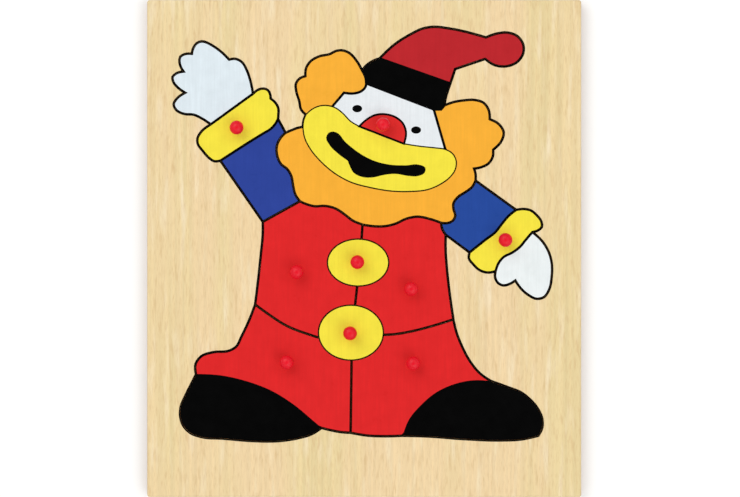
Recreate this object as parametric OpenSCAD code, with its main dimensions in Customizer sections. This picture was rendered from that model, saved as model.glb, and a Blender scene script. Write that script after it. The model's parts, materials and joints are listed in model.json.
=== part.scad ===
/* [Board] */
// Clear wood left of the figure
margin_left = 15.3; // [8:0.1:40]
// Clear wood right of the figure
margin_right = 17.8; // [8:0.1:40]
// Clear wood above the figure
margin_top = 16.2; // [8:0.1:40]
// Clear wood below the figure
margin_bottom = 33.7; // [8:0.1:60]
// Radius of the board's four corners
corner_r = 1.5; // [0.5:0.5:6]
// Thickness of the sheet that the frame and the pieces are sawn from
sheet_t = 6; // [5:0.5:12]
// Thickness of the backing sheet
back_t = 3; // [2:0.5:6]

/* [Figure] */
// Height of the figure from the lowest shoe to the top of the hat
figure_h = 250.1; // [200:0.1:320]
// Gap that the saw leaves round each piece
cut_gap = 0.35; // [0.3:0.05:0.6]
// Longest chord of a curved outline
curve_step = 1.8; // [1:0.1:3]

/* [Print] */
// Width of the black outlines
line_w = 1.6; // [1.4:0.1:2.4]
// Width of the outline round the nose
nose_line_w = 1.3; // [1:0.1:1.8]
// Width of the fine outline round the mouth
fine_line_w = 0.8; // [0.6:0.1:1.4]
// Black rim left beside the saw cut by the finely outlined prints
edge_rim = 0.1; // [0.05:0.05:0.4]
// Thickness of one coat of ink
ink_t = 0.1; // [0.05:0.01:0.3]

/* [Knobs] */
// Diameter of the knob's head
knob_d = 8.4; // [7:0.1:10]
// Height of the knob above the print
knob_h = 10; // [8:0.1:14]
// Diameter of the knob's neck
neck_d = 5; // [4.8:0.1:6]
// Diameter of the knob's foot
foot_d = 6.8; // [6:0.1:8]
// Thickness of the knob's foot
foot_t = 0.8; // [0.5:0.1:1.2]
// Diameter of the spigot under the knob
spigot_d = 4; // [3.6:0.1:4.6]
// Length of the spigot let into the piece
spigot_len = 2.4; // [1.5:0.1:2.8]
// Height where the hollow above the foot ends
waist_z = 2.8; // [2:0.1:3.2]
// Height of the head's underside
brim_z = 3.6; // [3.3:0.1:4.4]
// Height of the head's widest ring
widest_z = 6.4; // [5:0.1:7]

/* [Screws] */
// Diameter of the screw's shank
screw_d = 2.4; // [2:0.1:2.8]
// Diameter of the screw's countersunk head
screw_head_d = 4.8; // [4.2:0.1:5.2]
// Straight rim of the screw's head
screw_rim = 0.3; // [0.2:0.05:0.4]
// Depth of the screw's head below the underside of the piece
screw_sink = 0.2; // [0.1:0.05:0.4]
// Length of the screw inside the knob's head, above the print
screw_reach = 5; // [3:0.1:6]
// Length of the screw's point
screw_tip = 1.5; // [1:0.1:2]
// Width of the cross cut in the screw's head
cross_w = 0.7; // [0.5:0.05:0.9]
// Length of the cross cut
cross_l = 2.8; // [2:0.1:3.2]
// Depth of the cross cut
cross_t = 0.9; // [0.5:0.1:1.1]
// Spare depth of the knob's bore past the screw's point
bore_spare = 0.3; // [0.1:0.1:0.6]
// Radial clearance of the knob and the screw in their holes
fit_gap = 0.05; // [0.03:0.01:0.1]

/* [Hidden] */
$fn = 48;
WOOD = "#F2DBA9";
BACKING = "#B98A58";
BLACK = "#101010";
RED = "#E1292B";
HAT_RED = "#BD282E";
KNOB_RED = "#EB1C2E";
ORANGE = "#F9B138";
YELLOW = "#F5E449";
BLUE = "#2F459A";
WHITE = "#E6EBEE";
STEEL = "#B9B9BC";

// The figure is drawn in millimetres round the middle of the board, as strokes of points.
// A stroke is a smooth curve through its points, or a straight line if it has only two,
// and strokes meet in corners. These are the places where several strokes meet.
wrist_l_in = [-67.1, 93.4];
wrist_l_out = [-92.6, 74.9];
cuff_l_in = [-52, 78.2];
cuff_l_out = [-86.8, 53];
beard_l_top = [-47.5, 69.8];
beard_l_low = [-38.8, 28.5];
armpit_l = [-61.2, 16.1];
mouth_l_low = [-37, 73.4];
mouth_l_top = [-35.2, 80.8];
hair_l_low = [-19, 86];
nose_l = [-3, 73.7];
nose_r = [24, 63.2];
band_l_top = [-1.3, 107.5];
band_l_low = [1.2, 99.6];
hat_l = [9.3, 114.7];
hat_r = [52, 99.6];
hat_fold = hat_r + [2.9, 8.7];
hat_tip_top = [73.5, 127.4];
band_r_low = hat_r - [3.5, 13.2];
band_corner = band_r_low - [2.1, 2.5];
brow_r = band_r_low - [6.5, 2.5];
cheek_low = [49, 59.8];
hair_l_notch = [-12.2, 94];
hair_r_notch = [75.8, 78];
beard_r_top = [67.2, 41];
beard_r_low = [46.4, 15.5];
chin = [-1, 14.4];
cuff_r_out = [91.7, 23.3];
cuff_r_in = [63.6, -2.4];
wrist_r_out = [101.5, 9.9];
wrist_r_in = [79.3, -13.7];
armpit_r = [49.2, 8.3];
waist_l = [-65.8, -33.8];
waist_r = [53.8, -42.8];
ankle_l = [-101.5, -76];
heel_l = [-25.8, -108.3];
ankle_r = [76.5, -80];
heel_r = [23, -113];
crotch = [-8.2, -111.2];

// Stroke from a to b that bends on the way. Each bend is the share of the way and the steps aside
// in x and y, so that the stroke follows both its ends.
function bent(a, b, bends) = [a, each [for (q = bends) a + q[0] * (b - a) + [q[1], q[2]]], b];

// Left arm: the raised glove from the wrist over thumb and fingers, the cuff and the sleeve
thumb_l = [wrist_l_in, [-69.3, 103.3], [-70.9, 107.7], [-74.3, 112.9], [-78.1, 114.5], [-81.5, 114]];
finger_l_1 = [[-81.5, 114], [-86.8, 119.1], [-91.8, 122.6], [-95.1, 124.3], [-98, 125], [-101, 123.9],
    [-103, 121.3], [-104, 117.5]];
finger_l_2 = [[-104, 117.5], [-108.5, 117.2], [-111, 115.7], [-111.5, 112.5], [-110.5, 109.2], [-109, 106.8]];
finger_l_3 = [[-109, 106.8], [-113.5, 105.6], [-115.7, 103.5], [-115.3, 100.8], [-112.5, 97.2], [-108, 94]];
palm_l = [[-108, 94], [-113, 90.5], [-115, 87], [-113.5, 83.7], [-108.5, 81.2], [-103, 80.8],
    [-98.5, 78.8], wrist_l_out];
glove_l = [thumb_l, finger_l_1, finger_l_2, finger_l_3, palm_l];
wrist_l = [wrist_l_out, wrist_l_in];
cuff_l_top = [wrist_l_in, [-63.5, 96], [-60.5, 96.5], [-58, 95.4], [-56.7, 92.8], [-56.5, 90.5]];
cuff_l_side = [[-56.5, 90.5], [-53.5, 87.8], [-51.8, 84.5], [-51.8, 81], cuff_l_in];
cuff_l_seam = [cuff_l_in, [-53.8, 75], [-56.5, 72.1], [-61, 69.4], cuff_l_out];
cuff_l_end = [cuff_l_out, [-90.5, 52.7], [-94, 55], [-97.5, 59], [-100.5, 63.3], [-100.6, 66.5],
    [-98.7, 70], wrist_l_out];
sleeve_l_top = [cuff_l_in, beard_l_top];
sleeve_l_seam = [beard_l_low, armpit_l];
sleeve_l_under = [armpit_l, cuff_l_out];

// Head: beard, mouth, nose, the two tufts of hair, hat band and hat
beard_l = [beard_l_top, [-50.5, 66.7], [-52.7, 62], [-52.6, 56.5], [-50, 50.7], [-46.8, 48.3],
    [-44, 43.8], [-43, 38.5], [-41.5, 32.5], beard_l_low];
beard_l_over = [beard_l_top, [-44, 71.3], [-40, 72.8], mouth_l_low];
mouth_l = [mouth_l_low, [-36.6, 77], mouth_l_top];
mouth_over = [mouth_l_top, [-31.5, 84], [-27, 86], [-21.5, 86.2], [-17, 84.7], [-12.5, 81.2],
    [-8.5, 77], nose_l];
mouth_under = [nose_r, [33.5, 61.7], [43, 60.7], cheek_low, [53.3, 57.3], [55.6, 52.5], [54.8, 47.3],
    [51.5, 42.8], [46, 38.8], [38.5, 35.6], [28, 34.4], [17, 34.6], [4, 36.7], [-8, 40], [-17, 44.8],
    [-26, 52.3], [-32.5, 60], [-36, 67], mouth_l_low];
nose_base = [nose_l, nose_r];
nose_dome = [nose_l, [1.5, 77.8], [6.5, 80.5], [13, 81], [19, 79.2], [23.4, 75.4], [25.2, 70.5], nose_r];
smile = [[-10, 53], [-15.5, 57], [-21, 62.5], [-23, 66.8], [-21.5, 69.8], [-18.5, 70.6], [-15.5, 69.3],
    [-12, 65], [-7, 60.6], [0, 55.8], [7, 52.6], [15, 50.7], [25, 50.2], [33, 50.6], [37, 48.7],
    [36.5, 45.7], [32.5, 43.7], [26.5, 43.8], [19, 45], [12, 44.4], [5.5, 42.9], [-1, 43.1],
    [-6.5, 45.8], [-9, 50.5], [-10, 53]];
hair_l_side = [mouth_l_top, [-38, 83.7], [-39.2, 89], [-41, 95], [-41.2, 99.5], [-38.8, 102.7], [-35.5, 104]];
hair_l_over = [[-35.5, 104], [-35, 109], [-32, 113.3], [-27, 116], [-20.5, 117.4], [-17.5, 119],
    band_l_top + [-12.2, 12.1], band_l_top + [-7.7, 10.5], band_l_top + [-3.7, 6.3], band_l_top];
hair_l_band = bent(band_l_top, band_l_low, [[0.6, 0.6, 0.2]]);
hair_l_curl = bent(band_l_low, hair_l_notch, [[0.08, 0.7, -1.5], [0.3, 1.4, -2.8], [0.6, 1, -2.6]]);
hair_l_face = [hair_l_notch, hair_l_low];
band_l = bent(band_l_top, hat_l, [[0.29, -0.5, 0.9], [0.63, -0.6, 0.9]]);
hat_over = bent(hat_l, hat_tip_top, [[0.17, -1.2, 6.8], [0.33, -2.1, 10.6], [0.44, -2.4, 12.4],
    [0.55, -2.6, 12.1], [0.68, -2, 9.5]]);
hat_tip = [hat_tip_top, [80, 129.7], [86.5, 130.3], [92.5, 128.1], [96, 123], [96, 118], [92.5, 112.7],
    [86, 110], [79, 110.6], [73, 114.4]];
hat_under = [[73, 114.4], hat_fold + [9.1, 3.1], hat_fold];
hat_side = [hat_fold, hat_r];
hat_rim = [hat_r, hat_l - [0.6, 1.2]];
band_r = bent(hat_r, band_r_low, [[0.36, -0.4, 0], [0.66, -0.5, 0]]);
hair_r_over = bent(band_r_low, hair_r_notch, [[0.17, 1, 3.4], [0.36, 1.8, 6], [0.57, 2.5, 8], [0.77, 2.5, 8],
    [0.91, 1.6, 5.3]]);
hair_r_side = [hair_r_notch, [81.5, 74.8], [84.2, 70], [83, 65.2], [77.8, 59.6]];
hair_r_low = [[77.8, 59.6], [77.6, 55.5], [75, 51.3], [71, 49.2], [66.3, 48.2]];
hair_r_neck = [[66.3, 48.2], [67.2, 45], beard_r_top];
cheek_r = [brow_r, cheek_low];
beard_r = [beard_r_top, [65, 37], [61, 34], [56.5, 31], [53.8, 27], [54, 23.3], [55, 20], [53.3, 16.6],
    [50, 15.3], beard_r_low];
beard_under_r = [beard_r_low, [40, 17.7], [32, 19.2], [25.5, 18], [19, 15], [13, 13.5], [6, 13.4], chin];
beard_under_l = [chin, [-7, 16.9], [-12, 20.7], [-17.5, 24.2], [-24, 25.7], [-30, 25.5], [-35, 26.8],
    beard_l_low];

// Right arm: the sleeve, the cuff and the lowered glove
sleeve_r_over = [beard_r_top, cuff_r_out];
sleeve_r_under = [cuff_r_in, armpit_r];
sleeve_r_seam = [beard_r_low, [47, 12], armpit_r];
cuff_r_seam = [cuff_r_out, [87, 19.5], [83, 14.7], [79, 9.7], [73.5, 5.5], cuff_r_in];
cuff_r_over = [cuff_r_out, [96.5, 23.8], [100.5, 23], [104, 20.2], [107, 16], [107.2, 13], [105, 11],
    wrist_r_out];
wrist_r = [wrist_r_out, [97.5, 5.2], [94, 1], [89, -2.7], [84.3, -5], [81, -9], wrist_r_in];
cuff_r_under = [wrist_r_in, [75, -14.5], [70.5, -13.5], [65.5, -9.2], [63.2, -6], cuff_r_in];
hand_r = [wrist_r_out, [107.5, 4.3], [111.3, -2], [113.2, -9], [113.2, -16.5], [111.5, -25], [108.7, -29.2],
    [104.5, -30.4], [99, -28], [94.5, -24], [91.2, -19.3]];
thumb_r = [[91.2, -19.3], [87.5, -21.5], [84, -22.3], [80.7, -20.7], [79, -17.3], wrist_r_in];

// Body: the sides, the waist and the middle seam, which runs under both buttons
side_l = [armpit_l, [-61.2, 9], [-62.4, -4], [-64, -19], waist_l];
side_r = [armpit_r, [49.1, 0], [49.8, -11], [51.3, -25], waist_r];
top_button_at = [-3.7, -8.5];
top_button_r = [18.5, 14.2];
bottom_button_at = [-8, -50.8];
bottom_button_r = [19.6, 16.6];
under_top_button = [-2.6, -8.5];
under_bottom_button = [-7.4, -50.8];
waist_seam_l = [waist_l, [-58, -39.5], [-46.5, -46.8], [-35, -51.3], [-24, -54.3], under_bottom_button];
waist_seam_r = [waist_r, [43, -46.2], [32, -49.2], [18.5, -51.7], under_bottom_button];
seam_top = [chin, under_top_button];
seam_mid = [under_top_button, under_bottom_button];
seam_low = [under_bottom_button, crotch];

// Legs: the trousers and the big shoes
leg_l = [waist_l, [-69.3, -43], [-74, -53], [-77.5, -59.5], [-81.5, -61.7], [-91, -62.6], [-98.5, -65.2],
    [-101.7, -69.5], ankle_l];
shoe_l = [ankle_l, [-104, -81], [-108, -89], [-110.8, -96], [-111, -101.5], [-109.3, -106.8], [-105, -111.3],
    [-98, -113.8], [-85.5, -114.7], [-65, -116.3], [-53, -116.3], [-40, -114.5], [-31, -111.7], heel_l];
shoe_l_top = [ankle_l - [0, 0.5], [-87, -77.3], [-72.3, -80.5], [-57.4, -86], [-42.6, -95.1], [-31.7, -104.2],
    heel_l - [0.7, 0.3]];
hem_l = [heel_l, [-20, -109.7], [-14, -110.8], crotch];
leg_r = [waist_r, [55.5, -50], [59, -59], [64, -68.3], [70, -75.5], ankle_r];
shoe_r = [ankle_r, [87.5, -84], [94, -86.5], [100, -91], [105, -97], [107.5, -103], [107.5, -108],
    [105, -113]];
sole_r = [[105, -113], [95, -115.2], [83, -115.8], [60, -115], [38, -113.4], heel_r];
shoe_r_top = [ankle_r - [0, 0.8], [66, -80.3], [54.3, -82.7], [43.6, -87.7], [34.7, -95.2], [27.8, -103.5],
    heel_r + [1, 0]];
hem_r = [crotch, [2, -112.9], [11, -113.3], heel_r];

// Places of the nine knobs, one near the middle of each piece
left_arm_knob_at = [-76.7, 72.7];
head_knob_at = [11.3, 74.5];
right_arm_knob_at = [84.9, 5.1];
left_chest_knob_at = [-40.6, -14.2];
right_chest_knob_at = [28.2, -24.4];
top_button_knob_at = [-4.1, -8.2];
bottom_button_knob_at = [-8.5, -51];
left_leg_knob_at = [-46.6, -68.5];
right_leg_knob_at = [29.5, -69.1];

// Eyes
eye_r = [3, 2.2];
eye_l_at = [-4.2, 84.4];
eye_r_at = [31.3, 71.5];

// A stroke from its other end
function back(s) = [for (i = [len(s) - 1 : -1 : 0]) s[i]];
function unit(a, b) = (b - a) / norm(b - a);
// Direction of a stroke at point i: the nearer neighbour counts for more
function inner_way(s, i) =
    let (d1 = norm(s[i] - s[i - 1]), d2 = norm(s[i + 1] - s[i]))
    (unit(s[i - 1], s[i]) * d2 + unit(s[i], s[i + 1]) * d1) / (d1 + d2);
function end_way(chord, next) = 1.5 * chord - 0.5 * next;
function way(s, i) =
    let (last = len(s) - 1)
    i == 0 ? end_way(unit(s[0], s[1]), inner_way(s, 1))
    : i == last ? end_way(unit(s[last - 1], s[last]), inner_way(s, last - 1))
    : inner_way(s, i);
// Cubic from a to b that leaves along wa and arrives along wb
function cubic(a, b, wa, wb, t) =
    a * (1 + 2 * t) * (1 - t) ^ 2 + b * t ^ 2 * (3 - 2 * t)
    + norm(b - a) * (wa * t * (1 - t) ^ 2 - wb * t ^ 2 * (1 - t));
// Points along a stroke, all but its last, which the next stroke starts with
function along(s) =
    len(s) == 2 ? [s[0]]
    : [for (i = [0 : len(s) - 2])
        let (n = max(1, ceil(norm(s[i + 1] - s[i]) * fig / curve_step)))
        for (k = [0 : n - 1]) cubic(s[i], s[i + 1], way(s, i), way(s, i + 1), k / n)];

// The figure's whole outline, in drawing units, sets the scale and the board
SILHOUETTE = [sleeve_l_under, cuff_l_end, back(palm_l), back(finger_l_3), back(finger_l_2), back(finger_l_1),
    back(thumb_l), cuff_l_top, cuff_l_side, sleeve_l_top, beard_l_over, mouth_l, hair_l_side, hair_l_over,
    band_l, hat_over, hat_tip, hat_under, hat_side, band_r, hair_r_over, hair_r_side, hair_r_low, hair_r_neck,
    sleeve_r_over, cuff_r_over, hand_r, thumb_r, cuff_r_under, sleeve_r_under, side_r, leg_r, shoe_r, sole_r,
    back(hem_r), back(hem_l), back(shoe_l), back(leg_l), back(side_l)];
drawn_x = [for (s = SILHOUETTE) for (p = s) p.x];
drawn_y = [for (s = SILHOUETTE) for (p = s) p.y];
fig = figure_h / (max(drawn_y) - min(drawn_y));
board_w = margin_left + margin_right + fig * (max(drawn_x) - min(drawn_x));
board_h = margin_bottom + margin_top + figure_h;
place = [margin_left - board_w / 2 - fig * min(drawn_x), margin_bottom - board_h / 2 - fig * min(drawn_y)];
function at(p) = p * fig + place;
// Closed outline made of strokes that follow each other
function ring(strokes) = [for (s = strokes) for (p = along(s)) at(p)];
OVAL_TURN = [0 : 6 : 354];
function oval(middle, r, grow) =
    [for (a = OVAL_TURN) at(middle) + [(r.x * fig + grow) * cos(a), (r.y * fig + grow) * sin(a)]];

// Outline moved inwards by d, or outwards if d is negative.
// Points that land too near to the first outline, or to the next point, are left out.
mitre_least = 0.25;
near_tolerance = 0.001;
shortest_edge = 0.05;
function next_i(i, n) = (i + 1) % n;
function last_i(i, n) = (i + n - 1) % n;
function turn(r) = sign([for (i = [0 : len(r) - 1]) cross(r[i], r[next_i(i, len(r))])] * [for (p = r) 1]);
function to_edge(p, a, b) =
    let (e = b - a, t = max(0, min(1, ((p - a) * e) / (e * e))))
    norm(p - a - t * e);
function clear(p, r) = min([for (i = [0 : len(r) - 1]) to_edge(p, r[i], r[next_i(i, len(r))])]);
function normal(a, b) = let (u = unit(a, b)) [-u.y, u.x];
function mitre(r, i, d) =
    let (n1 = normal(r[last_i(i, len(r))], r[i]), n2 = normal(r[i], r[next_i(i, len(r))]))
    r[i] + d * (n1 + n2) / max(mitre_least, 1 + n1 * n2);
function inset(r, d) =
    let (
        side = d * turn(r),
        moved = [for (i = [0 : len(r) - 1]) mitre(r, i, side)],
        kept = [for (p = moved) if (clear(p, r) > abs(d) - near_tolerance) p],
        n = len(kept)
    )
    [for (i = [0 : n - 1]) if (norm(kept[next_i(i, n)] - kept[i]) > shortest_edge) kept[i]];

// Outlines of the pieces
LEFT_ARM = ring([sleeve_l_under, cuff_l_end, back(palm_l), back(finger_l_3), back(finger_l_2),
    back(finger_l_1), back(thumb_l), cuff_l_top, cuff_l_side, sleeve_l_top, beard_l, sleeve_l_seam]);
HEAD = ring([beard_l_over, mouth_l, hair_l_side, hair_l_over, band_l, hat_over, hat_tip, hat_under, hat_side,
    band_r, hair_r_over, hair_r_side, hair_r_low, hair_r_neck, beard_r, beard_under_r, beard_under_l,
    back(beard_l)]);
RIGHT_ARM = ring([sleeve_r_over, cuff_r_over, hand_r, thumb_r, cuff_r_under, sleeve_r_under,
    back(sleeve_r_seam), back(beard_r)]);
LEFT_CHEST = ring([back(sleeve_l_seam), back(beard_under_l), seam_top, seam_mid, back(waist_seam_l),
    back(side_l)]);
RIGHT_CHEST = ring([back(beard_under_r), sleeve_r_seam, side_r, waist_seam_r, back(seam_mid),
    back(seam_top)]);
LEFT_LEG = ring([leg_l, shoe_l, hem_l, back(seam_low), back(waist_seam_l)]);
RIGHT_LEG = ring([leg_r, shoe_r, sole_r, back(hem_r), back(seam_low), back(waist_seam_r)]);

// Levels above the table
piece_z = back_t;
print_z = back_t + sheet_t;
knob_z = print_z + 2 * ink_t;

// Sawn shapes, seen from above
TOP_BUTTON_HOLE = oval(top_button_at, top_button_r, cut_gap);
BOTTOM_BUTTON_HOLE = oval(bottom_button_at, bottom_button_r, cut_gap);
module board_shape() {
    square([board_w - 2 * corner_r, board_h], center = true);
    square([board_w, board_h - 2 * corner_r], center = true);
    for (x = [-1, 1])
        for (y = [-1, 1])
            translate([x * (board_w / 2 - corner_r), y * (board_h / 2 - corner_r)]) circle(corner_r);
}
module sawn(outline, holes = []) {
    difference() {
        polygon(inset(outline, cut_gap));
        for (h = holes) polygon(h);
    }
}
module head_shape() { sawn(HEAD); }
module left_arm_shape() { sawn(LEFT_ARM); }
module right_arm_shape() { sawn(RIGHT_ARM); }
module left_chest_shape() { sawn(LEFT_CHEST, [TOP_BUTTON_HOLE, BOTTOM_BUTTON_HOLE]); }
module right_chest_shape() { sawn(RIGHT_CHEST, [TOP_BUTTON_HOLE, BOTTOM_BUTTON_HOLE]); }
module left_leg_shape() { sawn(LEFT_LEG, [BOTTOM_BUTTON_HOLE]); }
module right_leg_shape() { sawn(RIGHT_LEG, [BOTTOM_BUTTON_HOLE]); }
module top_button_shape() { polygon(oval(top_button_at, top_button_r, -cut_gap)); }
module bottom_button_shape() { polygon(oval(bottom_button_at, bottom_button_r, -cut_gap)); }

// Hole through a piece for its knob and screw, countersunk from below
over = 1;
screw_r = screw_d / 2;
screw_head_r = screw_head_d / 2;
spigot_r = spigot_d / 2;
cone_z = screw_sink + screw_rim;
seat_z = sheet_t + 2 * ink_t - spigot_len - fit_gap;
module knob_hole() {
    rotate_extrude() polygon([
        [0, -over],
        [screw_head_r + fit_gap, -over],
        [screw_head_r + fit_gap, cone_z],
        [screw_r + fit_gap, cone_z + screw_head_r - screw_r],
        [screw_r + fit_gap, seat_z],
        [spigot_r + fit_gap, seat_z],
        [spigot_r + fit_gap, sheet_t + over],
        [0, sheet_t + over]
    ]);
}
module stand(p, z) { translate([at(p).x, at(p).y, z]) children(); }
// A piece sawn from the sheet, drilled for its knob
module blank(knob_at) {
    color(WOOD) difference() {
        translate([0, 0, piece_z]) linear_extrude(sheet_t) children();
        stand(knob_at, piece_z) knob_hole();
    }
}
// A coat of ink on the sheet, and one that goes round a knob's spigot
module coat(ink, level) {
    color(ink) translate([0, 0, print_z + level * ink_t]) linear_extrude(ink_t) children();
}
module holed_coat(ink, level, knob_at) {
    coat(ink, level) difference() {
        children();
        translate(at(knob_at)) circle(spigot_r + fit_gap);
    }
}
module key_coat(knob_at) { holed_coat(BLACK, 0, knob_at) children(); }

// Turned knob with a waist, a round head, a spigot and a blind bore for its screw
knob_r = knob_d / 2;
neck_r = neck_d / 2;
foot_r = foot_d / 2;
QUARTER = [0 : 10 : 90];
foot_hollow = [for (a = QUARTER)
    [foot_r - (foot_r - neck_r) * sin(a), foot_t + (waist_z - foot_t) * (1 - cos(a))]];
head_under = [for (a = QUARTER)
    [neck_r + (knob_r - neck_r) * sin(a), widest_z - (widest_z - brim_z) * cos(a)]];
head_dome = [for (a = QUARTER) [knob_r * cos(a), widest_z + (knob_h - widest_z) * sin(a)]];
bore_r = screw_r + fit_gap;
bore_top = screw_reach + bore_spare;
knob_profile = concat(
    [[bore_r, -spigot_len], [spigot_r, -spigot_len], [spigot_r, 0], [foot_r, 0]],
    foot_hollow, head_under, [for (i = [1 : len(head_dome) - 1]) head_dome[i]],
    [[0, bore_top], [bore_r, bore_top]]
);
module knob(p) { color(KNOB_RED) stand(p, knob_z) rotate_extrude() polygon(knob_profile); }

// Countersunk screw, head down, with a cross cut
screw_len = sheet_t - screw_sink + 2 * ink_t + screw_reach;
module screw(p) {
    color(STEEL) stand(p, piece_z + screw_sink) difference() {
        rotate_extrude() polygon([
            [0, 0],
            [screw_head_r, 0],
            [screw_head_r, screw_rim],
            [screw_r, screw_rim + screw_head_r - screw_r],
            [screw_r, screw_len - screw_tip],
            [0, screw_len]
        ]);
        cube([cross_l, cross_w, 2 * cross_t], center = true);
        cube([cross_w, cross_l, 2 * cross_t], center = true);
    }
}

// Printed areas: each colour stops half a line short of its outline, so that the black coat shows
half = line_w / 2;
fine = fine_line_w / 2;
edge_inset = cut_gap + edge_rim;
TOP_BUTTON_LINE = oval(top_button_at, top_button_r, edge_inset);
BOTTOM_BUTTON_LINE = oval(bottom_button_at, bottom_button_r, edge_inset);
// The face and the beard run on under the mouth through these points, and the mouth is cut out of both
under_mouth_r = [47, 50];
under_mouth = [0, 52];
under_mouth_l = [-22, 70];
FACE = ring([[band_l_low, brow_r], cheek_r, [cheek_low, under_mouth_r], [under_mouth_r, under_mouth],
    [under_mouth, under_mouth_l], [under_mouth_l, hair_l_low], back(hair_l_face), back(hair_l_curl)]);
BEARD = ring([beard_l_over, [mouth_l_low, under_mouth_l], [under_mouth_l, under_mouth],
    [under_mouth, under_mouth_r], [under_mouth_r, cheek_low], back(cheek_r), [brow_r, band_corner],
    [band_corner, band_r_low], hair_r_over, hair_r_side, hair_r_low, hair_r_neck, beard_r, beard_under_r,
    beard_under_l, back(beard_l)]);
HAIR = ring([hair_l_side, hair_l_over, hair_l_band, hair_l_curl, hair_l_face, [hair_l_low, under_mouth_l],
    [under_mouth_l, mouth_l_top]]);
HAT = ring([hat_over, hat_tip, hat_under, hat_side, hat_rim]);
NOSE = ring([nose_dome, back(nose_base)]);
MOUTH = ring([mouth_under, mouth_l, mouth_over, nose_base]);
LEFT_GLOVE = ring(concat(glove_l, [wrist_l]));
LEFT_CUFF = ring([wrist_l, cuff_l_top, cuff_l_side, cuff_l_seam, cuff_l_end]);
LEFT_SLEEVE = ring([sleeve_l_top, beard_l, sleeve_l_seam, sleeve_l_under, back(cuff_l_seam)]);
RIGHT_GLOVE = ring([hand_r, thumb_r, back(wrist_r)]);
RIGHT_CUFF = ring([cuff_r_over, wrist_r, cuff_r_under, back(cuff_r_seam)]);
RIGHT_SLEEVE = ring([sleeve_r_over, cuff_r_seam, sleeve_r_under, back(sleeve_r_seam), back(beard_r)]);
LEFT_TROUSER = ring([leg_l, shoe_l_top, hem_l, back(seam_low), back(waist_seam_l)]);
RIGHT_TROUSER = ring([leg_r, shoe_r_top, back(hem_r), back(seam_low), back(waist_seam_r)]);
module area(outline, cuts = []) {
    difference() {
        polygon(inset(outline, half));
        for (c = cuts) polygon(c);
    }
}
nose_line = inset(NOSE, -nose_line_w / 2);
mouth_line = inset(MOUTH, -fine);
eyes = [oval(eye_l_at, eye_r, 0), oval(eye_r_at, eye_r, 0)];
// The mouth reaches the side of the head, where its print stops a rim short of the saw cut
module mouth_area() {
    difference() {
        intersection() {
            polygon(inset(MOUTH, fine));
            polygon(inset(HEAD, edge_inset));
        }
        polygon(nose_line);
        polygon(ring([smile]));
    }
}

// Tray
module tray_back() { color(BACKING) linear_extrude(back_t) board_shape(); }
module tray_frame() {
    color(WOOD) translate([0, 0, back_t]) linear_extrude(sheet_t) difference() {
        board_shape();
        polygon(ring(SILHOUETTE));
    }
}
module tray_line() {
    coat(BLACK, 0) difference() {
        polygon(inset(ring(SILHOUETTE), -half));
        polygon(ring(SILHOUETTE));
    }
}

// Head
module head_blank() { blank(head_knob_at) head_shape(); }
module head_black() { key_coat(head_knob_at) head_shape(); }
module head_face() { coat(WHITE, 1) area(FACE, concat([nose_line, mouth_line], eyes)); }
module head_nose() { holed_coat(HAT_RED, 1, head_knob_at) polygon(inset(NOSE, nose_line_w / 2)); }
module head_mouth() { coat(YELLOW, 1) mouth_area(); }
module head_hair() { coat(ORANGE, 1) area(HAIR, [mouth_line]); }
module head_beard() { coat(ORANGE, 1) area(BEARD, [mouth_line]); }
module head_hat() { coat(HAT_RED, 1) area(HAT); }
module head_knob() { knob(head_knob_at); }
module head_screw() { screw(head_knob_at); }

// Left arm
module left_arm_blank() { blank(left_arm_knob_at) left_arm_shape(); }
module left_arm_black() { key_coat(left_arm_knob_at) left_arm_shape(); }
module left_arm_glove() { coat(WHITE, 1) area(LEFT_GLOVE); }
module left_arm_cuff() { holed_coat(YELLOW, 1, left_arm_knob_at) area(LEFT_CUFF); }
module left_arm_sleeve() { coat(BLUE, 1) area(LEFT_SLEEVE); }
module left_arm_knob() { knob(left_arm_knob_at); }
module left_arm_screw() { screw(left_arm_knob_at); }

// Right arm
module right_arm_blank() { blank(right_arm_knob_at) right_arm_shape(); }
module right_arm_black() { key_coat(right_arm_knob_at) right_arm_shape(); }
module right_arm_glove() { coat(WHITE, 1) area(RIGHT_GLOVE); }
module right_arm_cuff() { holed_coat(YELLOW, 1, right_arm_knob_at) area(RIGHT_CUFF); }
module right_arm_sleeve() { coat(BLUE, 1) area(RIGHT_SLEEVE); }
module right_arm_knob() { knob(right_arm_knob_at); }
module right_arm_screw() { screw(right_arm_knob_at); }

// Chest
module left_chest_blank() { blank(left_chest_knob_at) left_chest_shape(); }
module left_chest_black() { key_coat(left_chest_knob_at) left_chest_shape(); }
module left_chest_red() {
    holed_coat(RED, 1, left_chest_knob_at) area(LEFT_CHEST, [TOP_BUTTON_LINE, BOTTOM_BUTTON_LINE]);
}
module left_chest_knob() { knob(left_chest_knob_at); }
module left_chest_screw() { screw(left_chest_knob_at); }
module right_chest_blank() { blank(right_chest_knob_at) right_chest_shape(); }
module right_chest_black() { key_coat(right_chest_knob_at) right_chest_shape(); }
module right_chest_red() {
    holed_coat(RED, 1, right_chest_knob_at) area(RIGHT_CHEST, [TOP_BUTTON_LINE, BOTTOM_BUTTON_LINE]);
}
module right_chest_knob() { knob(right_chest_knob_at); }
module right_chest_screw() { screw(right_chest_knob_at); }

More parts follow.
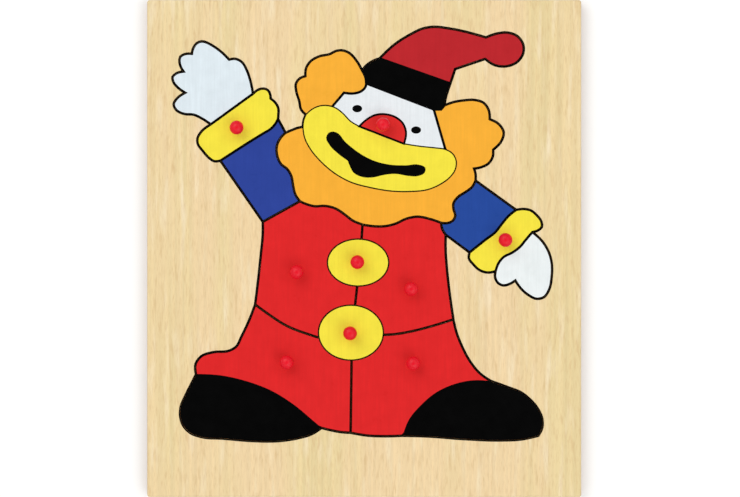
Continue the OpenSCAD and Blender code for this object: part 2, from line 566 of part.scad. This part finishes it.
// Buttons
module top_button_blank() { blank(top_button_knob_at) top_button_shape(); }
module top_button_black() { key_coat(top_button_knob_at) top_button_shape(); }
module top_button_yellow() {
    holed_coat(YELLOW, 1, top_button_knob_at) polygon(oval(top_button_at, top_button_r, -edge_inset));
}
module top_button_knob() { knob(top_button_knob_at); }
module top_button_screw() { screw(top_button_knob_at); }
module bottom_button_blank() { blank(bottom_button_knob_at) bottom_button_shape(); }
module bottom_button_black() { key_coat(bottom_button_knob_at) bottom_button_shape(); }
module bottom_button_yellow() {
    holed_coat(YELLOW, 1, bottom_button_knob_at)
        polygon(oval(bottom_button_at, bottom_button_r, -edge_inset));
}
module bottom_button_knob() { knob(bottom_button_knob_at); }
module bottom_button_screw() { screw(bottom_button_knob_at); }

// Legs
module left_leg_blank() { blank(left_leg_knob_at) left_leg_shape(); }
module left_leg_black() { key_coat(left_leg_knob_at) left_leg_shape(); }
module left_leg_red() { holed_coat(RED, 1, left_leg_knob_at) area(LEFT_TROUSER, [BOTTOM_BUTTON_LINE]); }
module left_leg_knob() { knob(left_leg_knob_at); }
module left_leg_screw() { screw(left_leg_knob_at); }
module right_leg_blank() { blank(right_leg_knob_at) right_leg_shape(); }
module right_leg_black() { key_coat(right_leg_knob_at) right_leg_shape(); }
module right_leg_red() { holed_coat(RED, 1, right_leg_knob_at) area(RIGHT_TROUSER, [BOTTOM_BUTTON_LINE]); }
module right_leg_knob() { knob(right_leg_knob_at); }
module right_leg_screw() { screw(right_leg_knob_at); }

tray_back();
tray_frame();
tray_line();
head_blank();
head_black();
head_face();
head_nose();
head_mouth();
head_hair();
head_beard();
head_hat();
head_knob();
head_screw();
left_arm_blank();
left_arm_black();
left_arm_glove();
left_arm_cuff();
left_arm_sleeve();
left_arm_knob();
left_arm_screw();
right_arm_blank();
right_arm_black();
right_arm_glove();
right_arm_cuff();
right_arm_sleeve();
right_arm_knob();
right_arm_screw();
left_chest_blank();
left_chest_black();
left_chest_red();
left_chest_knob();
left_chest_screw();
right_chest_blank();
right_chest_black();
right_chest_red();
right_chest_knob();
right_chest_screw();
top_button_blank();
top_button_black();
top_button_yellow();
top_button_knob();
top_button_screw();
bottom_button_blank();
bottom_button_black();
bottom_button_yellow();
bottom_button_knob();
bottom_button_screw();
left_leg_blank();
left_leg_black();
left_leg_red();
left_leg_knob();
left_leg_screw();
right_leg_blank();
right_leg_black();
right_leg_red();
right_leg_knob();
right_leg_screw();
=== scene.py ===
import json
import math

import bmesh
import bpy
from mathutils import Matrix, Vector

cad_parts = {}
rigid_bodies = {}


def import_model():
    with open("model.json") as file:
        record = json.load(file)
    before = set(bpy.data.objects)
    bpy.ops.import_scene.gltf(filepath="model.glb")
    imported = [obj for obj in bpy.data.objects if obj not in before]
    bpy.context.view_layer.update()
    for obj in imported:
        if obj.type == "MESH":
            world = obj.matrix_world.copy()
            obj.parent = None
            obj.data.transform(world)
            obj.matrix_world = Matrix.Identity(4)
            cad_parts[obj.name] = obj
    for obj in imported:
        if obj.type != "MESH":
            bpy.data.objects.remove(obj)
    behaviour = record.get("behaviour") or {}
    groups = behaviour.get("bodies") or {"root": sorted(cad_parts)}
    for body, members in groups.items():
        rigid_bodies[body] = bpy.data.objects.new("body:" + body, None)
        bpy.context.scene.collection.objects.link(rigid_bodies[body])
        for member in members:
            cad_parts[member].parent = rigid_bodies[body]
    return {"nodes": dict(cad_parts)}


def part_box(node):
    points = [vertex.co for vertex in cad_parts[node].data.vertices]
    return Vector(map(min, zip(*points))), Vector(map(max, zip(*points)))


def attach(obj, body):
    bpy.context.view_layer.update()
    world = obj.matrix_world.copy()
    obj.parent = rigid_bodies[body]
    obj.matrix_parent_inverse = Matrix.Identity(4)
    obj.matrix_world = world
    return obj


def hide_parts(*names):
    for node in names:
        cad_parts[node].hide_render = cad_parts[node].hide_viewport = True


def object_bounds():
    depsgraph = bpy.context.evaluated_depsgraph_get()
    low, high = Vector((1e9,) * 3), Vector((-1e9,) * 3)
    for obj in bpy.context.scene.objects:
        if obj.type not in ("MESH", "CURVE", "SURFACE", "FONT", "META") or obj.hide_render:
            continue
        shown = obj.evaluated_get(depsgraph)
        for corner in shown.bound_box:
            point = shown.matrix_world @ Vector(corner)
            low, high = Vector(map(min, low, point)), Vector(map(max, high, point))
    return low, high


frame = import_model()
cad_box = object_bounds()
scene = bpy.context.scene
scene.view_settings.view_transform = "Standard"


# The backing is a 3 mm sheet of hardboard, glued under the frame as the floor of the recess.
# It is pressed from brown wood fibre between a smooth plate, which gives the upper side, and
# a wire screen, which leaves its weave in the underside. Its lower edge is sanded round.
MM = 0.001
BACKING_EDGE = 0.6 * MM
HARDBOARD_BROWN = "#B98A58"
HARDBOARD_DARK = "#9C6F42"
# Painted shade for the dents of the screen's weave
HARDBOARD_DENT_SHADE = "#79522C"
HARDBOARD_FIBRE = 1.1 * MM
HARDBOARD_CLOUD = 22 * MM
HARDBOARD_RELIEF = 0.12 * MM
SCREEN_PITCH = 1.6 * MM
# Sockets of a node that mixes colours: the upper colour covers its share of the lower one
SHARE, LOWER, UPPER = 0, 6, 7
MIXED = 2
# A wave texture of scale 1 has one band in this length
WAVE_BAND = math.pi / 10
# Points this near are one point, and points chosen by their height may be this far off it
SAME_POINT = 0.001 * MM
NEAR = 0.01 * MM
# Faces are one face up to the first angle, shaded as one up to the second, sharp from the third
SAME_FACE = math.radians(0.5)
SMOOTH_FACES = math.radians(32)
SHARP_EDGE = math.radians(60)


def linear(colour):
    parts = [int(colour[i:i + 2], 16) / 255 for i in (1, 3, 5)]
    return [c / 12.92 if c <= 0.04045 else ((c + 0.055) / 1.055) ** 2.4 for c in parts] + [1]


def add(tree, kind, sockets, **settings):
    """Adds a node, fills its sockets with links or values, and gives back its main output."""
    node = tree.nodes.new("ShaderNode" + kind)
    for name, value in settings.items():
        setattr(node, name, value)
    for socket, value in sockets.items():
        if isinstance(value, bpy.types.NodeSocket):
            tree.links.new(value, node.inputs[socket])
        else:
            node.inputs[socket].default_value = value
    return node.outputs[MIXED if kind == "Mix" else 0]


def start_material(name):
    material = bpy.data.materials.new(name)
    material.use_nodes = True
    tree = material.node_tree
    coords = add(tree, "TexCoord", {}).node.outputs["Object"]
    return material, tree, tree.nodes["Principled BSDF"], coords


def worked_copy(node, name):
    """Copies a solid and merges its triangles into whole faces, ready for edit mode."""
    bpy.ops.object.select_all(action="DESELECT")
    solid = frame["nodes"][node]
    bpy.context.view_layer.objects.active = solid
    solid.select_set(True)
    bpy.ops.object.duplicate()
    piece = bpy.context.view_layer.objects.active
    piece.name = piece.data.name = name
    bpy.ops.object.parent_clear(type="CLEAR_KEEP_TRANSFORM")
    bpy.ops.object.mode_set(mode="EDIT")
    bpy.ops.mesh.select_all(action="SELECT")
    bpy.ops.mesh.remove_doubles(threshold=SAME_POINT)
    bpy.ops.mesh.dissolve_limited(angle_limit=SAME_FACE)
    bpy.ops.mesh.select_all(action="DESELECT")
    return piece


def round_edges(piece, chosen, width):
    """Rounds the sharp edges of the piece in edit mode whose two ends are chosen by their place."""
    mesh = bmesh.from_edit_mesh(piece.data)
    for edge in mesh.edges:
        sharp = edge.is_manifold and edge.calc_face_angle() > SHARP_EDGE
        edge.select_set(sharp and all(chosen(v.co) for v in edge.verts))
    bmesh.update_edit_mesh(piece.data)
    bpy.ops.mesh.bevel(offset=width, segments=3, affect="EDGES", clamp_overlap=False)


def leave_edit(piece, material):
    bpy.ops.object.mode_set(mode="OBJECT")
    bpy.ops.object.shade_smooth_by_angle(angle=SMOOTH_FACES)
    piece.data.materials.clear()
    piece.data.materials.append(material)


# Hardboard: matt, mottled brown, with the screen's weave pressed into the face that points down.
# Its fibre is drawn in bundles, because single fibres are too fine to show.
hardboard, tree, shader, coords = start_material("hardboard")
fibre = add(tree, "TexNoise",
            {"Vector": coords, "Scale": 1 / HARDBOARD_FIBRE, "Detail": 4, "Roughness": 0.65})
cloud = add(tree, "TexNoise", {"Vector": coords, "Scale": 1 / HARDBOARD_CLOUD, "Detail": 2})
mottle = add(tree, "Math", {0: cloud, 1: 0.4, 2: fibre}, operation="MULTIPLY_ADD")
mottle = add(tree, "MapRange", {"Value": mottle, "From Min": 0.5, "From Max": 0.9})
colour = add(tree, "Mix", {SHARE: mottle, LOWER: linear(HARDBOARD_DARK), UPPER: linear(HARDBOARD_BROWN)},
             data_type="RGBA")
turn_45 = add(tree, "Mapping", {"Vector": coords, "Rotation": (0, 0, math.radians(45))})
wires = {}
for direction in "XY":
    wires[direction] = add(tree, "TexWave", {"Vector": turn_45, "Scale": WAVE_BAND / SCREEN_PITCH},
                           bands_direction=direction)
screen = add(tree, "Math", {0: wires["X"], 1: wires["Y"]}, operation="MULTIPLY")
normal = add(tree, "NewGeometry", {}).node.outputs["Normal"]
facing = add(tree, "SeparateXYZ", {0: normal}).node.outputs["Z"]
down = add(tree, "Math", {0: facing, 1: -0.5}, operation="LESS_THAN")
screen = add(tree, "Math", {0: screen, 1: down}, operation="MULTIPLY")
# Painted shade: the dents of the weave are coloured darker, as if shade lay in them
dent_painted_shade = add(tree, "Math", {0: screen, 1: 0.7}, operation="MULTIPLY")
colour = add(tree, "Mix", {SHARE: dent_painted_shade, LOWER: colour, UPPER: linear(HARDBOARD_DENT_SHADE)}, data_type="RGBA")
height = add(tree, "Math", {0: screen, 1: -4, 2: fibre}, operation="MULTIPLY_ADD")
bump = add(tree, "Bump", {"Height": height, "Strength": 0.6, "Distance": HARDBOARD_RELIEF})
rough = add(tree, "MapRange", {"Value": fibre, "To Min": 0.62, "To Max": 0.85})
tree.links.new(colour, shader.inputs["Base Color"])
tree.links.new(rough, shader.inputs["Roughness"])
tree.links.new(bump, shader.inputs["Normal"])
shader.inputs["Specular IOR Level"].default_value = 0.3

backing = worked_copy("tray_back", "backing_sheet")
round_edges(backing, lambda at: at.z < NEAR, BACKING_EDGE)
leave_edit(backing, hardboard)
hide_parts("tray_back")
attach(backing, "tray")


# The frame is a 6 mm sheet of pale plywood, five veneers thick, sawn out in the clown's outline.
# The grain of its face runs up the picture, and the sawn and outer edges show the veneers in
# turn. The upper outer edge is sanded round, and the whole is rubbed with clear satin varnish.
FRAME_EDGE = 0.7 * MM
FRAME_BORDER = 2 * MM
WOOD_YELLOW = "#EED8A2"
WOOD_PINK = "#F0D5A6"
WOOD_DARK = "#D9B681"
WOOD_PALE = "#FAE9C6"
# Marks in the grain, by their width across it and their length along it
WOOD_BAND = (26 * MM, 300 * MM)
WOOD_STREAK = (2.2 * MM, 160 * MM)
WOOD_FLECK = (1.9 * MM, 11 * MM)
WOOD_GLEAM = (4.5 * MM, 45 * MM)
WOOD_PORE = (0.35 * MM, 4.5 * MM)
WOOD_RELIEF = 0.06 * MM
VENEERS = 5
VENEER_WAVE = 0.25 * MM
VENEER_SIDE = "#E3C38D"
VENEER_END = "#BF935A"
END_GRAIN = (0.5 * MM, 10 * MM)
GLUE_LINE = "#7C5733"

# Varnished birch plywood: a pale satin face in yellowish and pinkish bands, with fine streaks, short
# dark and light flecks and hair-fine pores, which are drawn coarser than real ones so that they show
sheet_low, sheet_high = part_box("tray_frame")
plywood, tree, shader, coords = start_material("varnished_plywood")
marks = []
for width, length in (WOOD_BAND, WOOD_STREAK, WOOD_FLECK, WOOD_GLEAM, WOOD_PORE):
    stretched = add(tree, "Mapping", {"Vector": coords, "Scale": (1, width / length, 1)})
    marks.append(add(tree, "TexNoise", {"Vector": stretched, "Scale": 1 / width, "Detail": 2}))
band, streak, fleck, gleam, pore = marks
hue = add(tree, "MapRange", {"Value": band, "From Min": 0.42, "From Max": 0.58})
face = add(tree, "Mix", {SHARE: hue, LOWER: linear(WOOD_YELLOW), UPPER: linear(WOOD_PINK)},
           data_type="RGBA")
tone = add(tree, "MapRange", {"Value": streak, "From Min": 0.3, "From Max": 0.7,
                              "To Min": 0.86, "To Max": 0.97})
tone = add(tree, "Math", {0: band, 1: 0.17, 2: tone}, operation="MULTIPLY_ADD")
face = add(tree, "HueSaturation", {"Value": tone, "Color": face})
for mark, shade, start, full, most in (
        (fleck, WOOD_DARK, 0.54, 0.76, 0.55),
        (gleam, WOOD_PALE, 0.54, 0.76, 0.8),
        (pore, WOOD_DARK, 0.5, 0.75, 0.5)):
    cover = add(tree, "MapRange", {"Value": mark, "From Min": start, "From Max": full,
                                   "To Min": 0, "To Max": most})
    face = add(tree, "Mix", {SHARE: cover, LOWER: face, UPPER: linear(shade)}, data_type="RGBA")
# Veneers on the edges: every second one lies across, shows its end grain and is darker
level = add(tree, "SeparateXYZ", {0: coords}).node.outputs["Z"]
level = add(tree, "Math", {0: streak, 1: VENEER_WAVE, 2: level}, operation="MULTIPLY_ADD")
level = add(tree, "Math", {0: level, 1: sheet_low[2] + VENEER_WAVE / 2}, operation="SUBTRACT")
level = add(tree, "Math", {0: level, 1: (sheet_high[2] - sheet_low[2]) / VENEERS}, operation="DIVIDE")
crosswise = add(tree, "Math", {0: level, 1: 2}, operation="FLOORED_MODULO")
crosswise = add(tree, "Math", {0: crosswise, 1: 1}, operation="GREATER_THAN")
width, length = END_GRAIN
across = add(tree, "Mapping", {"Vector": coords, "Scale": (width / length, 1, 1)})
ends = add(tree, "TexNoise", {"Vector": across, "Scale": 1 / width, "Detail": 3})
edge = add(tree, "Mix", {SHARE: crosswise, LOWER: linear(VENEER_SIDE), UPPER: linear(VENEER_END)},
           data_type="RGBA")
freckle = add(tree, "MapRange", {"Value": ends, "From Min": 0.35, "From Max": 0.7,
                                 "To Min": 0, "To Max": 0.5})
edge = add(tree, "Mix", {SHARE: freckle, LOWER: edge, UPPER: linear(GLUE_LINE)}, data_type="RGBA")
glue = add(tree, "Math", {0: level, 1: 0.5}, operation="PINGPONG")
glue = add(tree, "MapRange", {"Value": glue, "From Min": 0.03, "From Max": 0.1,
                              "To Min": 0.75, "To Max": 0})
edge = add(tree, "Mix", {SHARE: glue, LOWER: edge, UPPER: linear(GLUE_LINE)}, data_type="RGBA")
normal = add(tree, "NewGeometry", {}).node.outputs["Normal"]
facing = add(tree, "SeparateXYZ", {0: normal}).node.outputs["Z"]
level_face = add(tree, "Math", {0: facing}, operation="ABSOLUTE")
on_edge = add(tree, "MapRange", {"Value": level_face, "From Min": 0.45, "From Max": 0.8,
                                 "To Min": 1, "To Max": 0})
colour = add(tree, "Mix", {SHARE: on_edge, LOWER: face, UPPER: edge}, data_type="RGBA")
rough = add(tree, "MapRange", {"Value": streak, "From Min": 0.3, "From Max": 0.7,
                               "To Min": 0.4, "To Max": 0.52})
rough = add(tree, "Math", {0: on_edge, 1: 0.25, 2: rough}, operation="MULTIPLY_ADD")
relief = add(tree, "Math", {0: fleck, 1: ends}, operation="ADD")
bump = add(tree, "Bump", {"Height": relief, "Strength": 0.25, "Distance": WOOD_RELIEF})
tree.links.new(colour, shader.inputs["Base Color"])
tree.links.new(rough, shader.inputs["Roughness"])
tree.links.new(bump, shader.inputs["Normal"])
shader.inputs["Specular IOR Level"].default_value = 0.4

frame_sheet = worked_copy("tray_frame", "frame_sheet")
# Four cuts part off the border, so that the rounding meets whole strips and no face with a hole
border_x = sheet_high[0] - FRAME_BORDER
border_y = sheet_high[1] - FRAME_BORDER
for cut, outwards in (((-border_x, 0, 0), (-1, 0, 0)), ((border_x, 0, 0), (1, 0, 0)),
                      ((0, -border_y, 0), (0, -1, 0)), ((0, border_y, 0), (0, 1, 0))):
    bpy.ops.mesh.select_all(action="SELECT")
    bpy.ops.mesh.bisect(plane_co=cut, plane_no=outwards)
    bpy.ops.mesh.mark_seam()
bpy.ops.mesh.select_all(action="SELECT")
bpy.ops.mesh.dissolve_limited(angle_limit=SAME_FACE, delimit={"SEAM"})
bpy.ops.mesh.select_all(action="DESELECT")
round_edges(
    frame_sheet,
    lambda at: at.z > sheet_high[2] - NEAR and (abs(at.x) > border_x or abs(at.y) > border_y),
    FRAME_EDGE,
)
leave_edit(frame_sheet, plywood)
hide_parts("tray_frame")
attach(frame_sheet, "tray")


# The nine lift-out pieces are sawn from the sheet's middle, so that their grain runs on from the
# frame's. Their sawn walls are left bare, square to the face, and stand a saw cut apart.
PIECES = ("head", "left_arm", "right_arm", "left_chest", "right_chest", "top_button", "bottom_button",
          "left_leg", "right_leg")
for name in PIECES:
    sawn = worked_copy(name + "_blank", name + "_sheet")
    leave_edit(sawn, plywood)
    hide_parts(name + "_blank")
    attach(sawn, name)


# The picture is screen printed before sawing: a black key coat over each piece and round the
# recess, then one flat coat for each colour. The ink is opaque and satin, and the wood's grain
# shows in it as faint ridges and as a slight change of tone.
PRINT = {
    "black": ("#030303", ("tray_line",) + tuple(name + "_black" for name in PIECES)),
    "face_white": ("#E8EDF0", ("head_face",)),
    "left_glove_white": ("#E0EBF1", ("left_arm_glove",)),
    "right_glove_white": ("#EDF3F3", ("right_arm_glove",)),
    "hat_red": ("#BD282E", ("head_hat",)),
    # The nose's red is set a little lighter than its ink, as painted light against the head knob's shadow
    # on it
    "nose_red_painted_light": ("#DE2E2D", ("head_nose",)),
    "suit_red": ("#E0292A", ("left_chest_red", "right_chest_red", "left_leg_red", "right_leg_red")),
    "yellow": ("#F6E545", ("head_mouth", "left_arm_cuff", "right_arm_cuff", "top_button_yellow",
                           "bottom_button_yellow")),
    "orange": ("#F9B139", ("head_hair", "head_beard")),
    "left_sleeve_blue": ("#2F459A", ("left_arm_sleeve",)),
    "right_sleeve_blue": ("#284B9D", ("right_arm_sleeve",)),
}
INK_CLOUD = 7 * MM
INK_RIDGE = (1.1 * MM, 22 * MM)
INK_RELIEF = 0.04 * MM
# Screen ink: one flat, strong colour that hides the wood, with a low satin gleam. Its coat is a
# little thicker here and thinner there, and dips with the grain.
width, length = INK_RIDGE
for ink, (shade, nodes) in PRINT.items():
    printed, tree, shader, coords = start_material("screen_ink_" + ink)
    stretched = add(tree, "Mapping", {"Vector": coords, "Scale": (1, width / length, 1)})
    ridges = add(tree, "TexNoise", {"Vector": stretched, "Scale": 1 / width, "Detail": 3})
    cloud = add(tree, "TexNoise", {"Vector": coords, "Scale": 1 / INK_CLOUD, "Detail": 3})
    thin = add(tree, "Math", {0: ridges, 1: cloud}, operation="MULTIPLY")
    thin = add(tree, "MapRange", {"Value": thin, "From Min": 0.1, "From Max": 0.45,
                                  "To Min": 0.95, "To Max": 1.05})
    flat = add(tree, "HueSaturation", {"Value": thin, "Color": linear(shade)})
    rough = add(tree, "MapRange", {"Value": cloud, "From Min": 0.3, "From Max": 0.7,
                                   "To Min": 0.27, "To Max": 0.33})
    bump = add(tree, "Bump", {"Height": ridges, "Strength": 0.2, "Distance": INK_RELIEF})
    tree.links.new(flat, shader.inputs["Base Color"])
    tree.links.new(rough, shader.inputs["Roughness"])
    tree.links.new(bump, shader.inputs["Normal"])
    shader.inputs["Specular IOR Level"].default_value = 0.07
    for node in nodes:
        coat = frame["nodes"][node]
        coat.data.materials.clear()
        coat.data.materials.append(printed)


# Each piece has one turned knob to pinch: a flared foot on the print, a narrow neck and a ball
# of a head. It is dipped in bright red lacquer, which dries with a faint ripple. Its red is
# darker in the lowest millimetre, towards the foot where it meets the print.
KNOB_RED = "#EA1026"
KNOB_DARKER_RED_AT_FOOT = "#9E0F1C"
FOOT_DARKENING_HEIGHT = 1.1 * MM
LACQUER_CLOUD = 5 * MM
RIPPLE = 1.4 * MM
RIPPLE_RELIEF = 0.05 * MM
# Radius and height above the print, from the foot to the crown
KNOB_FOOT = (3.4 * MM, 0.8 * MM)
KNOB_WAIST = (2.5 * MM, 2.8 * MM)
KNOB_BRIM = (2.5 * MM, 3.6 * MM)
KNOB_WIDEST = (4.2 * MM, 6.4 * MM)
KNOB_CROWN = (0, 10 * MM)
KNOB_SIDES = 48
# Degrees of turn from ring to ring of the neck, the head's underside and its crown
NECK_STEP, BRIM_STEP, CROWN_STEP = 15, 11.25, 9.5


def arc_point(start, end, degrees):
    """A point on the quarter of an ellipse that leaves start sideways and comes upright to end."""
    turn = math.radians(degrees)
    return (start[0] + (end[0] - start[0]) * math.sin(turn),
            start[1] + (end[1] - start[1]) * (1 - math.cos(turn)))


# Red lacquer: a clear bright red with soft highlights, darker towards the foot
lacquer, tree, shader, coords = start_material("red_lacquer")
ripple = add(tree, "TexNoise", {"Vector": coords, "Scale": 1 / RIPPLE, "Detail": 2})
cloud = add(tree, "TexNoise", {"Vector": coords, "Scale": 1 / LACQUER_CLOUD, "Detail": 2})
level = add(tree, "SeparateXYZ", {0: coords}).node.outputs["Z"]
print_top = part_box("head_face")[1][2]
foot_darkening = add(tree, "MapRange", {"Value": level, "From Min": print_top, "From Max": print_top + FOOT_DARKENING_HEIGHT,
                                "To Min": 0.8, "To Max": 0})
tone = add(tree, "MapRange", {"Value": cloud, "From Min": 0.3, "From Max": 0.7,
                              "To Min": 0.97, "To Max": 1.03})
colour = add(tree, "HueSaturation", {"Value": tone, "Color": linear(KNOB_RED)})
colour = add(tree, "Mix", {SHARE: foot_darkening, LOWER: colour, UPPER: linear(KNOB_DARKER_RED_AT_FOOT)}, data_type="RGBA")
rough = add(tree, "MapRange", {"Value": cloud, "From Min": 0.3, "From Max": 0.7,
                               "To Min": 0.28, "To Max": 0.34})
bump = add(tree, "Bump", {"Height": ripple, "Strength": 0.15, "Distance": RIPPLE_RELIEF})
tree.links.new(colour, shader.inputs["Base Color"])
tree.links.new(rough, shader.inputs["Roughness"])
tree.links.new(bump, shader.inputs["Normal"])
shader.inputs["Specular IOR Level"].default_value = 0.25

rings = [KNOB_FOOT]
rings += [arc_point(KNOB_FOOT, KNOB_WAIST, NECK_STEP * step) for step in range(1, 7)]
rings += [arc_point(KNOB_BRIM, KNOB_WIDEST, BRIM_STEP * step) for step in range(9)]
rings += [arc_point(KNOB_CROWN, KNOB_WIDEST, 90 - CROWN_STEP * step) for step in range(1, 10)]
# The knob is turned once on the middle axis, and then copied to its nine places
bpy.ops.object.select_all(action="DESELECT")
bpy.ops.mesh.primitive_circle_add(vertices=KNOB_SIDES, radius=KNOB_FOOT[0], fill_type="NGON",
                                  location=(0, 0, print_top))
pattern_knob = bpy.context.object
bpy.ops.object.transform_apply(location=True, rotation=True, scale=True)
bpy.ops.object.mode_set(mode="EDIT")
bpy.ops.mesh.select_all(action="SELECT")
radius, height = KNOB_FOOT[0], 0
for next_radius, next_height in rings:
    bpy.ops.mesh.extrude_region_move(TRANSFORM_OT_translate={"value": (0, 0, next_height - height)})
    grow = next_radius / radius
    bpy.ops.transform.resize(value=(grow, grow, 1), center_override=(0, 0, print_top + next_height))
    radius, height = next_radius, next_height
bpy.ops.mesh.select_all(action="SELECT")
bpy.ops.mesh.normals_make_consistent(inside=False)
leave_edit(pattern_knob, lacquer)
for name in PIECES:
    low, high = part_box(name + "_knob")
    bpy.ops.object.select_all(action="DESELECT")
    bpy.context.view_layer.objects.active = pattern_knob
    pattern_knob.select_set(True)
    bpy.ops.object.duplicate()
    knob = bpy.context.object
    knob.name = knob.data.name = name + "_turned_knob"
    bpy.ops.transform.translate(value=((low[0] + high[0]) / 2, (low[1] + high[1]) / 2, 0))
    bpy.ops.object.transform_apply(location=True, rotation=True, scale=True)
    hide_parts(name + "_knob")
    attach(knob, name)
bpy.data.objects.remove(pattern_knob)


# A countersunk screw with a cross cut holds each knob from below, with its head sunk just under
# the piece's lower face. It is pressed from steel wire and zinc plated.
ZINC_LIGHT = "#D3D4D6"
ZINC_DARK = "#A4A6AA"
ZINC_SPOT = 0.8 * MM
# Zinc-plated steel: a soft grey metal, brighter and duller in small spots
zinc, tree, shader, coords = start_material("zinc_plated_steel")
spots = add(tree, "TexNoise", {"Vector": coords, "Scale": 1 / ZINC_SPOT, "Detail": 3})
colour = add(tree, "Mix", {SHARE: spots, LOWER: linear(ZINC_DARK), UPPER: linear(ZINC_LIGHT)},
             data_type="RGBA")
rough = add(tree, "MapRange", {"Value": spots, "From Min": 0.3, "From Max": 0.7,
                               "To Min": 0.26, "To Max": 0.42})
tree.links.new(colour, shader.inputs["Base Color"])
tree.links.new(rough, shader.inputs["Roughness"])
shader.inputs["Metallic"].default_value = 1
for name in PIECES:
    screw = worked_copy(name + "_screw", name + "_zinc_screw")
    leave_edit(screw, zinc)
    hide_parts(name + "_screw")
    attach(screw, name)


# The puzzle lies on a white studio floor. A broad ring of soft light hangs all round above it,
# under a dark ceiling, and two large lamps stand at the upper left and, weaker, at the lower right.
FLOOR_WHITE = "#F5F5F4"
FLOOR_SIZE = 30
FLOOR_DROP = 0.02 * MM
# Metres from the puzzle, and the floor's lift towards white there: more where the lamps fall off
LIFT_NEAR = (0.5, 0.14)
LIFT_FAR = (2.5, 0.36)
# Sines of the heights at which the wall turns into the ring, and the ring into the ceiling
RING_RISE = (0.5, 0.68)
CEILING_RISE = (0.86, 0.96)
WALL_LIGHT = 0.45
RING_LIGHT = 1.2
CEILING_SHARE = 0.08
# Each lamp's direction in degrees, its reach, height and size in metres, and its watts
LAMPS = {"key_lamp": (130, 1.7, 1.7, 2.0, 14), "fill_lamp": (310, 1.8, 1.6, 2.2, 12)}

bpy.ops.object.select_all(action="DESELECT")
bpy.ops.mesh.primitive_plane_add(size=FLOOR_SIZE, location=(0, 0, -FLOOR_DROP))
floor = bpy.context.object
floor.name = "studio_floor"
paint, tree, shader, coords = start_material("floor_white")
shader.inputs["Base Color"].default_value = linear(FLOOR_WHITE)
shader.inputs["Roughness"].default_value = 0.9
shader.inputs["Specular IOR Level"].default_value = 0
ray = add(tree, "LightPath", {}).node.outputs
seen = add(tree, "Math", {0: ray["Is Camera Ray"], 1: ray["Is Glossy Ray"]}, operation="MAXIMUM")
seen = add(tree, "Math", {0: seen, 1: ray["Is Transmission Ray"]}, operation="MAXIMUM")
away = add(tree, "VectorMath", {0: coords}, operation="LENGTH").node.outputs["Value"]
lift = add(tree, "MapRange", {"Value": away, "From Min": LIFT_NEAR[0], "From Max": LIFT_FAR[0],
                              "To Min": LIFT_NEAR[1], "To Max": LIFT_FAR[1]})
lift = add(tree, "Math", {0: seen, 1: lift}, operation="MULTIPLY")
shader.inputs["Emission Color"].default_value = (1, 1, 1, 1)
tree.links.new(lift, shader.inputs["Emission Strength"])
floor.data.materials.append(paint)

world = bpy.data.worlds.new("studio_room")
world.use_nodes = True
tree = world.node_tree
direction = add(tree, "TexCoord", {}).node.outputs["Generated"]
rise = add(tree, "SeparateXYZ", {0: direction}).node.outputs["Z"]
ring = add(tree, "MapRange", {"Value": rise, "From Min": RING_RISE[0], "From Max": RING_RISE[1],
                              "To Min": WALL_LIGHT, "To Max": RING_LIGHT})
share = add(tree, "MapRange", {"Value": rise, "From Min": CEILING_RISE[0], "From Max": CEILING_RISE[1],
                               "To Min": 1, "To Max": CEILING_SHARE})
light = add(tree, "Math", {0: ring, 1: share}, operation="MULTIPLY")
tree.nodes["Background"].inputs["Color"].default_value = (1, 1, 1, 1)
tree.links.new(light, tree.nodes["Background"].inputs["Strength"])
scene.world = world

for name, (azimuth, reach, height, size, watts) in LAMPS.items():
    turn = math.radians(azimuth)
    bpy.ops.object.light_add(type="AREA", location=(reach * math.cos(turn), reach * math.sin(turn), height),
                             rotation=(0, math.atan2(reach, height), turn))
    lamp = bpy.context.object
    lamp.name = name
    lamp.data.shape = "DISK"
    lamp.data.size = size
    lamp.data.energy = watts


# The camera hangs straight above the board with the hat up. The board fills the height of the
# picture, and its middle lies a little left of the picture's middle.
PICTURE_W = 740
PICTURE_H = 497
BOARD_MIDDLE_PX = 364.2
LENS = 120
SENSOR = 36
per_px = (cad_box[1][1] - cad_box[0][1]) / PICTURE_H
distance = LENS / SENSOR * PICTURE_W * per_px
bpy.ops.object.camera_add(
    location=((PICTURE_W / 2 - BOARD_MIDDLE_PX) * per_px, 0, sheet_high[2] + distance))
camera = bpy.context.object
camera.data.sensor_width = SENSOR
camera.data.lens = LENS
scene.camera = camera
